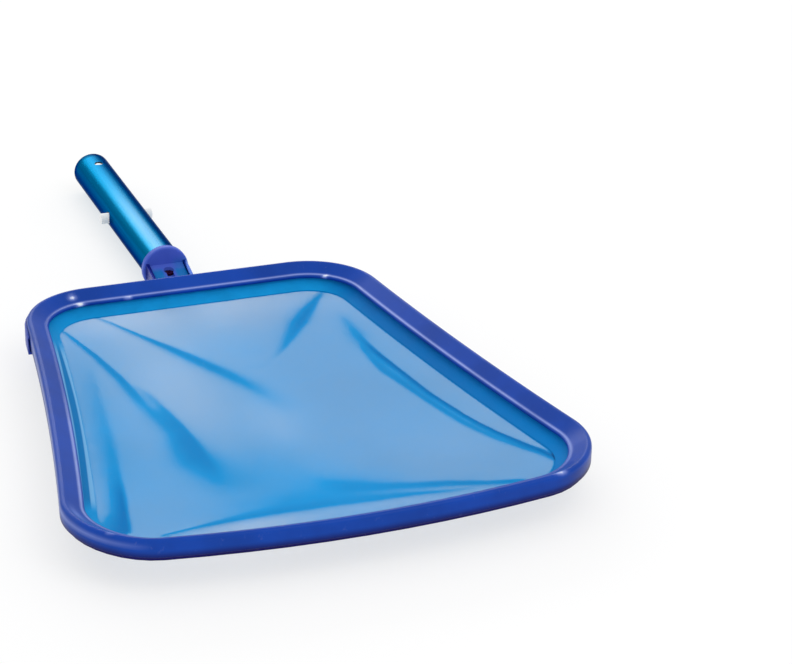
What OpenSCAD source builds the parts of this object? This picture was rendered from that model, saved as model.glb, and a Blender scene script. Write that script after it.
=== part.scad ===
// Leaf skimmer net: a shallow net in a scoop-shaped plastic frame, on a short tube for a pole.
// All sizes are in millimetres. +Y runs along the tube, away from the net. +Z is up.

/* [Frame outline] */
// Width of the frame at its front corners, over the outer wall
front_w = 356; // [280:1:420]
// Width of the frame at its back corners, over the outer wall
back_w = 239.5; // [190:1:270]
// Length of the frame between its front and back corners
frame_l = 350.5; // [280:1:420]
// Radius of the front corners
front_r = 48; // [35:1:60]
// Radius of the back corners
back_r = 55; // [40:1:70]
// How far the front edge bows out at its middle
front_bow = 22; // [0:1:35]
// How far each side bows in at its middle
side_bow = 5.5; // [0:0.5:10]

/* [Rim section] */
// Height of the outer wall, from the crest down
rim_h = 11.5; // [9:0.5:16]
// Thickness of the outer wall
rim_wall = 2; // [1.6:0.1:3]
// Radius of the crest
crest_r = 2.4; // [1.2:0.1:2.8]
// Distance from the outer wall to the middle of the inner bead
band_w = 13.2; // [12:0.1:15]
// How far the sloping band drops between the crest and the bead
band_drop = 6.8; // [4:0.1:8]
// Thickness of the sloping band
band_t = 2; // [1.6:0.1:2.6]
// Radius of the inner bead
bead_r = 1.4; // [1:0.1:1.8]
// How far the bead stands above the band
bead_lift = 0.7; // [0:0.1:1]

/* [Clamp ring] */
// How far below the crest the ring's foot lies
ring_drop = 14.5; // [14:0.5:22]
// Thickness of the ring's walls
ring_wall = 1.7; // [1.2:0.1:2.2]
// Radius of a ring screw's shank
ring_screw_r = 1.4; // [1:0.1:1.5]
// Radius of a ring screw's head
ring_screw_head_r = 2.3; // [2:0.1:2.4]
// Space left beside a piece that lies loose in its seat
seat_gap = 0.3; // [0.2:0.05:0.4]

/* [Net] */
// Thickness of the hem, which is folded double
hem_t = 0.8; // [0.6:0.1:1]
// Thickness of the net
net_t = 0.6; // [0.4:0.1:0.8]
// Distance from the outer wall to the hem's inner edge
hem_w = 21.8; // [20:0.1:25]
// How far below the crest the hem's inner edge lies
hem_drop = 14.6; // [13.8:0.1:15.2]
// How far the net sags at its middle
net_sag = 2.4; // [0:0.1:4]
// How much higher or deeper than shown the folds are
fold_scale = 1; // [0.2:0.1:1.3]

/* [Yoke and neck] */
// Thickness of the yoke's skirt
skirt_t = 1.2; // [1:0.1:2]
// How far the skirt runs along each side, past its corner
skirt_past = 16; // [4:1:60]
// Thickness of the yoke's shelf under the ring
shelf_t = 1.6; // [1.2:0.1:2.4]
// How far the shelf reaches in under the ring
shelf_w = 12; // [10:0.5:14]
// Distance from the frame's back wall to the collar
neck_l = 51; // [40:1:70]
// Width over the neck's cheeks
neck_w = 30; // [26:1:33]
// Thickness of the neck's cheeks and floor
neck_wall = 2.4; // [1.8:0.1:3]

/* [Handle tube] */
// Outer radius of the tube, which goes inside a telescopic pole
tube_r = 14.25; // [13.5:0.05:14.5]
// Thickness of the tube's wall
tube_wall = 1.2; // [1:0.1:1.6]
// Length of the tube
tube_l = 202; // [150:1:260]
// How far below the frame's crest the tube's axis lies
tube_drop = 17.5; // [16:0.5:24]
// Radius of the collar that the tube butts against
collar_r = 17; // [16.5:0.1:19]
// Thickness of the collar
collar_t = 6; // [4:0.5:10]
// Length of the spigot inside the tube
spigot_l = 30; // [22:1:40]
// Wall of the spigot
spigot_wall = 2.6; // [2:0.1:3.5]
// Radius of the hole through the tube near its free end
hang_hole_r = 3.25; // [2:0.05:4]
// Distance of that hole from the tube's free end
hang_hole_in = 22; // [12:1:30]

/* [Spring clip] */
// Distance of the buttons from the collar
button_at = 102; // [90:1:120]
// Radius of each button
button_r = 4; // [3:0.1:4.5]
// How far each button stands out of the tube
button_out = 5.8; // [4:0.1:7]
// Clearance round a button in its hole
button_gap = 0.9; // [0.8:0.1:1.2]
// Length of a clip leg, from the bow to the button
leg_l = 48; // [36:1:52]
// Thickness of the clip's strip
strip_t = 1.8; // [1.2:0.1:2.2]
// Width of the clip's strip
strip_w = 8; // [6:0.5:9]

/* [Hidden] */
$fn = 64;
ARC_N = 10;      // steps round each corner
SIDE_N = 9;      // points along each side
CUT = 20;        // depth that passes right through any wall or floor here

// Heights: the collar's foot is at zero, so the crest of the rim follows from the tube's axis.
axis_z = collar_r;
crest_z = axis_z + tube_drop;

// Places along Y, from the middle of the frame
back_y = frame_l / 2;
collar_y = back_y + neck_l;
tube_y = collar_y + collar_t;
end_y = tube_y + tube_l;
front_y = -frame_l / 2 - front_bow;
// The frame's middle lies here, so that the whole part is centred on the origin
mid_y = -(end_y + front_y) / 2;

// ---- the outline that every ring of the frame follows ----

function unit(v) = v / norm(v);
function turn(a) = a > 180 ? a - 360 : a < -180 ? a + 360 : a;

// points of one rounded corner p between its neighbours a and b
function corner(a, p, b, r) =
    let (u = unit(a - p), v = unit(b - p), half = acos(u * v) / 2,
         s = p + u * r / tan(half), e = p + v * r / tan(half),
         c = p + unit(u + v) * r / sin(half),
         a0 = atan2(s[1] - c[1], s[0] - c[0]), a1 = atan2(e[1] - c[1], e[0] - c[0]),
         d = turn(a1 - a0))
    [for (k = [0:ARC_N]) c + r * [cos(a0 + d * k / ARC_N), sin(a0 + d * k / ARC_N)]];

corners = [[-back_w / 2, frame_l / 2], [back_w / 2, frame_l / 2],
           [front_w / 2, -frame_l / 2], [-front_w / 2, -frame_l / 2]];
radii = [back_r, back_r, front_r, front_r];
arcs = [for (i = [0:3]) corner(corners[(i + 3) % 4], corners[i], corners[(i + 1) % 4], radii[i])];

// straight-sided outline, clockwise from the back left corner
straight = [for (i = [0:3]) each concat(arcs[i],
    let (s = arcs[i][ARC_N], e = arcs[(i + 1) % 4][0])
    [for (k = [1:SIDE_N]) s + (e - s) * k / (SIDE_N + 1)])];

// the front edge bows out and the sides bow in, most at their middles
function bowed(p) =
    let (t = (p[1] + frame_l / 2) / frame_l, w = front_w + (back_w - front_w) * t,
         across = max(0, 1 - pow(2 * p[0] / w, 2)), along = max(0, 1 - pow(2 * p[1] / frame_l, 2)),
         ahead = pow(max(0, -2 * p[1] / frame_l), 2))
    [p[0] - side_bow * along * sign(p[0]) * pow(2 * p[0] / w, 2), p[1] - front_bow * across * ahead];

outline = [for (p = straight) bowed(p)];
OUT_N = len(outline);
function out_at(i) =
    let (a = floor(i), f = i - a)
    outline[(a + OUT_N) % OUT_N] * (1 - f) + outline[(a + 1 + OUT_N) % OUT_N] * f;
function inward(i) = let (d = unit(out_at(i + 1) - out_at(i - 1))) [d[1], -d[0]];
// a point of the outline, moved u inward
function inset(i, u) = let (p = out_at(i) + inward(i) * u) [p[0], p[1] + mid_y];
// index of point k on side s (0 back, 1 right, 2 front, 3 left)
function side_index(s, k) = s * (ARC_N + 1 + SIDE_N) + ARC_N + k;
SIDE_MID = (SIDE_N + 1) / 2;

// A section of [inward, height over the crest] points, carried round the whole outline.
module ring_sweep(section) {
    m = len(section);
    points = [for (i = [0:OUT_N - 1], q = section)
              let (p = inset(i, q[0])) [p[0], p[1], crest_z + q[1]]];
    faces = [for (i = [0:OUT_N - 1], j = [0:m - 1])
             let (a = i * m + j, b = i * m + (j + 1) % m, k = ((i + 1) % OUT_N) * m,
                  c = k + (j + 1) % m, d = k + j)
             each [[a, b, c], [a, c, d]]];
    polyhedron(points, faces);
}

// The same along part of the outline, from place i0 to place i1, with closed ends.
module part_sweep(section, i0, i1) {
    m = len(section);
    places = concat([i0], [for (i = [floor(i0) + 1:ceil(i1) - 1]) i], [i1]);
    n = len(places) - 1;
    points = [for (i = places, q = section)
              let (p = inset(i, q[0])) [p[0], p[1], crest_z + q[1]]];
    walls = [for (i = [0:n - 1], j = [0:m - 1])
             let (a = i * m + j, b = i * m + (j + 1) % m, c = (i + 1) * m + (j + 1) % m,
                  d = (i + 1) * m + j)
             each [[a, b, c], [a, c, d]]];
    ends = [[for (j = [m - 1:-1:0]) j], [for (j = [0:m - 1]) n * m + j]];
    polyhedron(points, concat(walls, ends));
}

// ---- heights across the rim, from the outer wall inward ----

band_angle = atan2(band_drop, band_w - crest_r);
band_rise = tan(band_angle);
band_start = [crest_r + 0.1 + crest_r * sin(band_angle), -crest_r + crest_r * cos(band_angle)];
function band_z(u) = band_start[1] - band_rise * (u - band_start[0]);
function under_z(u) = band_z(u) - band_t / cos(band_angle);
function hem_z(u) = under_z(u) - (seat_gap + hem_t / 2) / cos(band_angle);
function ring_z(u) = under_z(u) - (2 * seat_gap + hem_t) / cos(band_angle);

bead_c = [band_w, band_z(band_w) - bead_r + bead_lift];
ring_u0 = rim_wall + seat_gap + 0.2;
ring_u1 = band_w - bead_r;
screw_u = (ring_u0 + ring_u1) / 2;
boss_r = ring_screw_head_r + 0.4;
pillar_r = ring_screw_r + 1;
pillar_z = ring_z(screw_u) + 0.1;

// the twelve places on the outline where a ring screw stands
screw_marks = [for (s = [0:3], k = [-3, 0, 3]) side_index(s, SIDE_MID + k)];

module at_screws(z) {
    for (i = screw_marks) {
        p = inset(i, screw_u);
        translate([p[0], p[1], crest_z + z]) children();
    }
}

// ---- frame ----

// Upper frame moulding: outer wall, band that slopes down inward, and a rolled inner bead.
module rim() {
    bead = [for (a = [195:24:459]) bead_c + bead_r * [cos(a), sin(a)]];
    groove = [band_w - bead_r + 0.1, band_z(band_w - bead_r + 0.1)];      // where the band meets the bead
    crest = [for (a = [90 - band_angle, 75, 90, 112, 135, 157, 180])
             [crest_r + 0.1, -crest_r] + crest_r * [cos(a), sin(a)]];
    section = concat([[0, -rim_h], [rim_wall - 0.2, -rim_h], [rim_wall, under_z(rim_wall)],
                      [band_w - bead_r - 0.3, under_z(band_w - bead_r - 0.3)]], bead, [groove], crest);
    color("royalblue") difference() {
        union() {
            ring_sweep(section);
            at_screws(pillar_z) cylinder(r = pillar_r, h = band_z(screw_u) - band_t / 2 - pillar_z);
        }
        at_screws(pillar_z - 1) cylinder(r = ring_screw_r + 0.05, h = screw_top - pillar_z + 1.2);
    }
}

// Lower frame moulding: an upside-down channel that clamps the hem against the band.
ring_screw_seat = -ring_drop + 2.2;      // height of the heads' seats
screw_top = band_z(screw_u + ring_screw_r) - 1.2;   // where the screws' points end
module clamp_ring() {
    foot = -ring_drop;
    w = ring_wall;
    section = [[ring_u0, foot], [ring_u0 + w - 0.1, foot],
               [ring_u0 + w, ring_z(ring_u0 + w) - w / cos(band_angle)],
               [ring_u1 - w, ring_z(ring_u1 - w) - w / cos(band_angle)],
               [ring_u1 - w + 0.1, foot], [ring_u1, foot], [ring_u1, ring_z(ring_u1) - 1.4],
               [ring_u1 - 0.7, ring_z(ring_u1 - 0.7) - 0.15], [ring_u0 + 0.7, ring_z(ring_u0 + 0.7)],
               [ring_u0, ring_z(ring_u0) - 0.6]];
    color("navy") difference() {
        union() {
            ring_sweep(section);
            ring_inside();
        }
        at_screws(pillar_z - seat_gap) cylinder(r = pillar_r + seat_gap, h = 9);
        at_screws(foot - 1) cylinder(r = ring_screw_r + 0.25, h = CUT);
        for (x = yoke_screw_x) yoke_screw_hole(x, foot - 1, 3.6, screw_r);
    }
}

// Bosses for the screws' heads and cross ribs, cut off level with the ring's sloping top
module ring_inside() {
    foot = -ring_drop;
    outside = [[ring_u0 + 0.2, foot], [ring_u1 - 0.2, foot], [ring_u1 - 0.2, ring_z(ring_u1 - 0.2) - 1.4],
               [ring_u1 - 0.9, ring_z(ring_u1 - 0.9) - 0.2], [ring_u0 + 0.9, ring_z(ring_u0 + 0.9) - 0.2],
               [ring_u0 + 0.2, ring_z(ring_u0 + 0.2) - 0.8]];
    intersection() {
        union() {
            at_screws(ring_screw_seat)
                cylinder(r = boss_r + 0.2, h = pillar_z - 0.9 - ring_screw_seat);
            ring_ribs();
        }
        ring_sweep(outside);
    }
}

// Cross ribs inside the ring's channel, one between each two neighbouring screws
module ring_ribs() {
    for (s = [0:3], k = [-1.5, 1.5]) {
        i = side_index(s, SIDE_MID + floor(k));
        p = inset(i, screw_u);
        d = inward(i);
        translate([p[0], p[1], crest_z - ring_drop + 1])
            rotate(atan2(d[1], d[0]))
                translate([-(ring_u1 - ring_u0) / 2 + 0.8, -0.8, 0])
                    cube([ring_u1 - ring_u0 - 1.6, 1.6, ring_drop + ring_z(screw_u) - 2]);
    }
}

// ---- net ----

hem_bend = [ring_u1 - 0.3, hem_z(ring_u1 - 0.3)];     // where the hem leaves the clamp
hem_turn = [bead_c[0] - 0.4, bead_c[1] - bead_r - seat_gap - hem_t / 2 - 0.4];
hem_end = [hem_w, -hem_drop];

// Offsets a line of points to one side by d, for a strip of even thickness.
function side_of(a, b, d) = let (v = unit(b - a)) [-v[1], v[0]] * d;
function strip(path, t) =
    let (n = len(path),
         off = [for (i = [0:n - 1])
                let (s = side_of(path[max(i - 1, 0)], path[min(i + 1, n - 1)], t / 2)) s])
    concat([for (i = [0:n - 1]) path[i] - off[i]], [for (i = [n - 1:-1:0]) path[i] + off[i]]);

// Hem of doubled cloth: clamped between the rim and the ring, then down and inward to the net.
module net_hem() {
    path = [[ring_u0 + 1.2, hem_z(ring_u0 + 1.2)], hem_bend, hem_turn, hem_end];
    color("deepskyblue") difference() {
        ring_sweep(strip(path, hem_t));
        at_screws(-ring_drop) cylinder(r = pillar_r + seat_gap, h = ring_drop);
    }
}

// Folds of the net: [from, to, height, half width], as seen from above with the handle at the top.
FOLDS = [
    [[-98, 133], [-62, -80], 2.2, 9],
    [[-74, 146], [14, -8], 1.8, 9],
    [[94, 150], [26, 60], -1.6, 10],
    [[92, 112], [97, 5], 1.9, 7],
    [[97, 5], [145, -132], 1.9, 6],
    [[-118, -76], [-134, -140], -1.2, 9],
    [[-70, -139], [120, -151], 1.3, 8]];

// distance from q to the line a-b, and the share of the way along it
function line_t(q, a, b) = min(1, max(0, ((q - a) * (b - a)) / ((b - a) * (b - a))));
function fold_z(q, f) =
    let (t = line_t(q, f[0], f[1]), d = norm(q - f[0] - (f[1] - f[0]) * t) / f[3])
    f[2] * exp(-d * d) * sin(180 * min(1, max(0, 0.15 + 0.7 * t)));
function folds_z(q) = fold_scale * ([for (f = FOLDS) fold_z(q, f)] * [for (f = FOLDS) 1]);

net_edge = [hem_w + seat_gap + 0.2, -hem_drop];
NET_RINGS = 13;
NET_STEP = 2;      // the net takes every second point of the outline

// The net: rings of points that shrink from the hem to the middle, at the height of sag and folds.
module net_panel() {
    n = OUT_N / NET_STEP;
    function net_at(i, s) = let (p = inset(i * NET_STEP, net_edge[0])) [p[0] * s, (p[1] - mid_y) * s];
    function net_z(q, s) = crest_z + net_edge[1] - net_sag * (1 - s * s)
        + folds_z(q) * min(1, 4 * (1 - s));
    function shell(h) = [for (k = [0:NET_RINGS - 1], i = [0:n - 1])
        let (s = 1 - k / NET_RINGS, q = net_at(i, s)) [q[0], q[1] + mid_y, net_z(q, s) + h]];
    function middle(h) = [[0, mid_y, net_z([0, 0], 0) + h]];
    m = NET_RINGS * n;
    top = [for (k = [0:NET_RINGS - 2], i = [0:n - 1])
           let (a = k * n + i, b = k * n + (i + 1) % n, c = b + n, d = a + n)
           each [[a, b, c], [a, c, d]]];
    cap = [for (i = [0:n - 1]) [(NET_RINGS - 1) * n + i, (NET_RINGS - 1) * n + (i + 1) % n, m]];
    low = [for (f = concat(top, cap)) [f[2], f[1], f[0]] + [m + 1, m + 1, m + 1]];
    edge = [for (i = [0:n - 1]) let (j = (i + 1) % n) each [[i, m + 1 + i, m + 1 + j], [i, m + 1 + j, j]]];
    color("lightskyblue")
        polyhedron(concat(shell(net_t / 2), middle(net_t / 2), shell(-net_t / 2), middle(-net_t / 2)),
                   concat(top, cap, low, edge));
}

// ---- yoke, neck and socket ----

back_wall_y = mid_y + back_y;
screw_r = 1.5;                                   // shank of the yoke, neck and tube screws
yoke_screw_x = [-66, -26, 26, 66];
shelf_top = -ring_drop - seat_gap;               // height of the shelf over the crest
shelf_foot = shelf_top - shelf_t;
yoke_reach = skirt_past / norm(out_at(0) - out_at(-1));     // the same, in points of the outline
skirt_z = -crest_r - 1.2;                        // height of the skirt's top over the crest
cheek_top = -11.5;                               // top of the cheeks at the collar
neck_low = shelf_foot - 2.2;                     // top of the neck just behind the skirt
neck_floor = -ring_drop - 10.5;                  // underside of the neck's floor
neck_foot = neck_floor - 4.5;                    // foot of the cheeks at the collar
neck_screw_y = neck_l - 7;                       // the screw's place behind the back wall
tongue_y = neck_screw_y - 14;                    // where the socket's tongue begins
tongue_foot = neck_floor + neck_wall + 0.25;     // underside of the tongue
head_seat = tongue_foot + 4;                     // where the neck screw's head sits

module yoke_screw_hole(x, z, h, r) {
    translate([x, back_wall_y - screw_u, crest_z + z]) cylinder(r = r, h = h, $fn = 32);
}

// A side view of [distance behind the back wall, height over the crest], w wide across the middle.
module side_block(points, w) {
    translate([w / 2, back_wall_y, crest_z]) rotate([90, 0, -90]) linear_extrude(w)
        polygon([for (p = points) [-p[0], p[1]]]);
}

cheek = [[-shelf_w + 2, shelf_foot], [-shelf_w + 2, shelf_foot + 1], [skirt_t, shelf_foot + 1],
         [skirt_t + 1, neck_low], [neck_l * 0.4, neck_low], [neck_l - 0.3, cheek_top],
         [neck_l - 0.3, neck_foot], [neck_l * 0.45, neck_foot + 1]];
neck_base = [[-shelf_w + 2, shelf_foot], [-shelf_w + 2, shelf_foot + 1], [skirt_t, shelf_foot + 1],
             [skirt_t + 1, neck_low], [tongue_y - 3, neck_low], [tongue_y - 1, neck_floor + neck_wall],
             [neck_l - 0.3, neck_floor + neck_wall], [neck_l - 0.3, neck_floor],
             [tongue_y - 6, neck_floor + 0.5]];

// Rear yoke: a skirt round the back of the frame, a shelf under the ring, and the hollow neck.
module rear_yoke() {
    u0 = -seat_gap - skirt_t;
    section = [[u0, shelf_foot], [shelf_w, shelf_foot], [shelf_w, shelf_top], [-seat_gap, shelf_top],
               [-seat_gap, skirt_z], [u0 + 0.5, skirt_z], [u0, skirt_z - 0.9]];
    color("mediumblue") difference() {
        union() {
            part_sweep(section, -yoke_reach, side_index(1, 0) + yoke_reach);
            for (side = [-1, 1])
                translate([side * (neck_w - neck_wall) / 2, 0, 0]) side_block(cheek, neck_wall);
            side_block(neck_base, neck_w - 1);
            at_neck_screw(neck_foot + 1.5) cylinder(r = 4.2, h = neck_floor - neck_foot);
        }
        at_neck_screw(neck_foot + 2.4) cylinder(r = screw_r + 0.05, h = CUT);
        for (x = yoke_screw_x) yoke_screw_hole(x, shelf_foot - 1, shelf_t + 2, screw_r + 0.2);
    }
}

module at_neck_screw(z) {
    translate([0, back_wall_y + neck_screw_y, crest_z + z]) children();
}

// Half section of the collar, rounded on its rim.
module collar_side() {
    square([collar_r - collar_edge, collar_t]);
    translate([0, collar_edge]) square([collar_r, collar_t - 2 * collar_edge]);
    for (z = [collar_edge, collar_t - collar_edge])
        translate([collar_r - collar_edge, z]) circle(r = collar_edge);
}
collar_edge = 1.4;

// Pole socket: the collar, the hollow spigot inside the tube, and the tongue screwed in the neck.
module pole_socket() {
    tongue_w = neck_w - 2 * (neck_wall + 0.25);
    spigot_r = tube_r - tube_wall - 0.2;
    tongue = [[tongue_y, tongue_foot], [tongue_y, neck_low - 0.4], [neck_l + 0.5, cheek_top - 1.5],
              [neck_l + 0.5, tongue_foot]];
    core = [[tongue_y + 2, tongue_foot - 1], [tongue_y + 4, neck_low - 2.2],
            [neck_l - 2, cheek_top - 4.2], [neck_l - 2, tongue_foot - 1]];
    color("slateblue") difference() {
        union() {
            translate([0, back_wall_y + neck_l, axis_z]) rotate([-90, 0, 0]) {
                rotate_extrude($fn = 96) collar_side();
                cylinder(r = spigot_r, h = collar_t + spigot_l);
            }
            difference() {
                side_block(tongue, tongue_w);
                for (side = [-1, 1])
                    translate([side * (tongue_w / 4 + 1.4), 0, 0]) side_block(core, tongue_w / 2 - 6.4);
            }
        }
        translate([0, back_wall_y + neck_l + 3, axis_z]) rotate([-90, 0, 0])
            cylinder(r = spigot_r - spigot_wall, h = collar_t + spigot_l);
        at_neck_screw(tongue_foot - 1) cylinder(r = screw_r + 0.2, h = CUT);
        at_neck_screw(head_seat) cylinder(r = neck_head_r + 0.5, h = CUT);
        translate([-2.6, back_wall_y + tongue_y - 1, crest_z + head_seat])
            cube([5.2, neck_screw_y - tongue_y + 1, CUT]);
        translate([0, back_wall_y + neck_l + collar_t + tube_screw_in, -1])
            cylinder(r = screw_r + 0.05, h = axis_z);
    }
}
neck_head_r = 3.2;

// ---- handle tube ----

tube_screw_in = 14;      // distance of the tube screw from the collar

// Aluminium tube, open at its free end, drilled for the buttons, the tube screw and a hanging hole.
module handle_tube() {
    y0 = back_wall_y + neck_l + collar_t;
    color("darkturquoise") difference() {
        translate([0, y0, axis_z]) rotate([-90, 0, 0]) cylinder(r = tube_r, h = tube_l, $fn = 96);
        translate([0, y0 - 1, axis_z]) rotate([-90, 0, 0])
            cylinder(r = tube_r - tube_wall, h = tube_l + 2, $fn = 96);
        translate([-tube_r - 1, y0 + button_at, axis_z]) rotate([0, 90, 0])
            cylinder(r = button_r + button_gap, h = 2 * tube_r + 2);
        translate([0, y0 + tube_l - hang_hole_in, axis_z - tube_r - 1])
            cylinder(r = hang_hole_r, h = 2 * tube_r + 2);
        translate([0, y0 + tube_screw_in, -1]) cylinder(r = screw_r + 0.2, h = axis_z);
    }
}

// ---- spring clip ----

pad_r = strip_w / 2 + 0.4;                                     // pad at the foot of each button
strip_out = sqrt(pow(tube_r - tube_wall - seat_gap, 2) - pow(pad_r, 2));   // outer face of the strip
pivot_x = strip_out - strip_t / 2;
button_edge = 0.9;                                             // rounding of a button's end
pivot_y = back_wall_y + neck_l + collar_t + button_at - leg_l;

// Bow of the clip: half a ring of the strip, which lies across the tube.
module clip_bow() {
    color("white") translate([0, pivot_y, axis_z - strip_w / 2]) difference() {
        cylinder(r = strip_out, h = strip_w);
        translate([0, 0, -1]) cylinder(r = strip_out - strip_t, h = strip_w + 2);
        translate([-strip_out - 1, 0, -1]) cube([2 * strip_out + 2, strip_out + 1, strip_w + 2]);
    }
}

// One leg of the clip with its button. The right leg is drawn; side -1 gives the left one.
module clip_leg(side) {
    reach = tube_r + button_out - strip_out;
    color("white") translate([0, pivot_y, axis_z]) rotate([0, side < 0 ? 180 : 0, 0]) {
        translate([strip_out - strip_t, 0.25, -strip_w / 2]) cube([strip_t, leg_l - 0.25, strip_w]);
        translate([strip_out - strip_t, leg_l, 0]) rotate([0, 90, 0]) cylinder(r = pad_r, h = strip_t);
        translate([strip_out - 0.1, leg_l, 0]) rotate([0, 90, 0]) {
            cylinder(r = button_r, h = reach + 0.1 - button_edge);
            cylinder(r = button_r - button_edge, h = reach + 0.1);
            translate([0, 0, reach + 0.1 - button_edge]) rotate_extrude()
                translate([button_r - button_edge, 0]) circle(r = button_edge, $fn = 32);
        }
    }
}
module clip_leg_left() { clip_leg(-1); }
module clip_leg_right() { clip_leg(1); }

// ---- screws ----

// Pan-head screw, head down, with a cross recess: its head's seat is at the origin.
module screw(r, head_r, head_h, l) {
    difference() {
        union() {
            translate([0, 0, -head_h]) cylinder(r = head_r, h = head_h);
            cylinder(r = r, h = l - r);
            translate([0, 0, l - r]) cylinder(r1 = r, r2 = 0.3, h = r, $fn = 24);
        }
        for (a = [0, 90]) rotate(a)
            translate([-head_r * 0.55, -0.35, -head_h - 1]) cube([head_r * 1.1, 0.7, 1 + head_h * 0.5]);
    }
}

module ring_screws() {
    color("silver") at_screws(ring_screw_seat)
        screw(ring_screw_r, ring_screw_head_r, 1.6, screw_top - ring_screw_seat);
}

module yoke_screws() {
    color("silver") for (x = yoke_screw_x)
        translate([x, back_wall_y - screw_u, crest_z + shelf_foot]) screw(screw_r, 3, 1.8, 4.6);
}

module neck_screw() {
    color([0.16, 0.05, 0.12]) at_neck_screw(head_seat)
        mirror([0, 0, 1]) screw(screw_r, neck_head_r, 1.9, head_seat - neck_foot - 2.65);
}

module tube_screw() {
    color("silver") translate([0, back_wall_y + neck_l + collar_t + tube_screw_in, axis_z - tube_r])
        screw(screw_r, 2.9, 1.5, 5);
}

rim();
clamp_ring();
net_hem();
net_panel();
rear_yoke();
pole_socket();
handle_tube();
clip_bow();
clip_leg_left();
clip_leg_right();
neck_screw();
tube_screw();
ring_screws();
yoke_screws();
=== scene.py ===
import math

import bmesh
import bpy
import numpy as np
from bpy.props import FloatProperty, FloatVectorProperty, PointerProperty
from mathutils import Matrix, Vector


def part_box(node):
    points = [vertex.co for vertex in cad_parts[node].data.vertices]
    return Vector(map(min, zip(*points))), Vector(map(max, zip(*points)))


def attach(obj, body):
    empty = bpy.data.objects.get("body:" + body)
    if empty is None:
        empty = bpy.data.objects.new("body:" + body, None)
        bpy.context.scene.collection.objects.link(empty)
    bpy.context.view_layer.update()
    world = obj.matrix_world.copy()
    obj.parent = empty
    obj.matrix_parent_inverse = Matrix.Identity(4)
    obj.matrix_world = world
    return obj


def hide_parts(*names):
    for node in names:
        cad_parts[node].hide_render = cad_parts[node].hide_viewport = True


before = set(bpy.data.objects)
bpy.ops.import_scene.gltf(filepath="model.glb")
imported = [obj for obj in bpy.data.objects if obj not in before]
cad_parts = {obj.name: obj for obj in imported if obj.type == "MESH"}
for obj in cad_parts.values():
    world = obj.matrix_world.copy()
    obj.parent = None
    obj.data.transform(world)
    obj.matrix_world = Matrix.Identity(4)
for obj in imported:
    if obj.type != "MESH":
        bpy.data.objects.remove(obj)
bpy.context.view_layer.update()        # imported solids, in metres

bl_info = {
    "name": "Leaf skimmer net",
    "version": (1, 0, 0),
    "blender": (4, 5, 0),
    "location": "3D View > Sidebar > Skimmer",
    "description": "Builds the surfaces, cloth and finishes of a leaf skimmer net over its packed solids",
    "category": "Add Mesh",
}

RIM_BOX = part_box("rim")
TUBE_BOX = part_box("handle_tube")
BACK_WALL = RIM_BOX[1][1]
NECK_START, COLLAR_FACE = BACK_WALL + 0.003, BACK_WALL + 0.051
CREST_Z = RIM_BOX[1][2]
AXIS_Z = (TUBE_BOX[0][2] + TUBE_BOX[1][2]) / 2
TUBE_START, TUBE_END = TUBE_BOX[0][1], TUBE_BOX[1][1]
PALE_HEM_FRONT, PALE_HEM_BACK = BACK_WALL - 0.294, BACK_WALL - 0.050    # ends of the left hem's stretch that is painted pale, as painted light
CREST_INSET = 0.0001     # the crest's circle starts this far inside the wall
ROOT = "net_and_handle"


# ---- sizes and colours ----

def length(name, description, default):
    """A length in metres."""
    return FloatProperty(name=name, description=description, default=default, unit="LENGTH", precision=5)


def share(name, description, default, **limits):
    """A plain number."""
    return FloatProperty(name=name, description=description, default=default, **limits)


def srgb(red, green, blue):
    """Linear colour of an sRGB one given in 0 to 255."""
    c = np.array([red, green, blue]) / 255
    return (*np.where(c <= 0.04045, c / 12.92, ((c + 0.055) / 1.055) ** 2.4).tolist(), 1.0)


def colour(name, description, default):
    return FloatVectorProperty(name=name, description=description, default=srgb(*default), size=4,
                               subtype="COLOR", min=0, max=1)


class FrameSizes(bpy.types.PropertyGroup):
    front_width: length("Front width", "Width at the front corners, over the outer wall", 0.356)
    back_width: length("Back width", "Width at the back corners, over the outer wall", 0.2395)
    frame_length: length("Length", "Length between the front and back corners", 0.3505)
    front_radius: length("Front radius", "Radius of the front corners", 0.048)
    back_radius: length("Back radius", "Radius of the back corners", 0.055)
    front_bow: length("Front bow", "How far the front edge bows out at its middle", 0.022)
    side_bow: length("Side bow", "How far each side bows in at its middle", 0.0055)
    wall_height: length("Wall height", "Height of the outer wall, from the crest down", 0.0115)
    wall: length("Wall", "Thickness of the outer wall", 0.002)
    crest_radius: length("Crest radius", "Radius of the crest", 0.0024)
    band_width: length("Band width", "From the outer wall to the middle of the bead", 0.0132)
    band_drop: length("Band drop", "How far the band drops between crest and bead", 0.0068)
    band_wall: length("Band thickness", "Thickness of the sloping band", 0.002)
    bead_radius: length("Bead radius", "Radius of the inner bead", 0.0014)
    bead_lift: length("Bead lift", "How far the bead stands above the band", 0.0007)


class ClothSizes(bpy.types.PropertyGroup):
    hem_thickness: length("Hem thickness", "Thickness of the doubled hem", 0.0008)
    net_thickness: length("Net thickness", "Thickness of the net", 0.0006)
    hem_width: length("Hem width", "From the outer wall to the hem's inner edge", 0.0218)
    hem_drop: length("Hem drop", "How far below the crest the hem's inner edge lies", 0.0146)
    sag: length("Sag", "How far the net sags at its middle", 0.0024)
    fold_scale: share("Fold scale", "Height of the folds, 1 as made", 1.0)
    pitch: length("Mesh pitch", "Distance from thread to thread of the net", 0.0008)
    cover: share("Cover", "Share of the net that its threads cover", 0.855, min=0.2, max=0.98)


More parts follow.
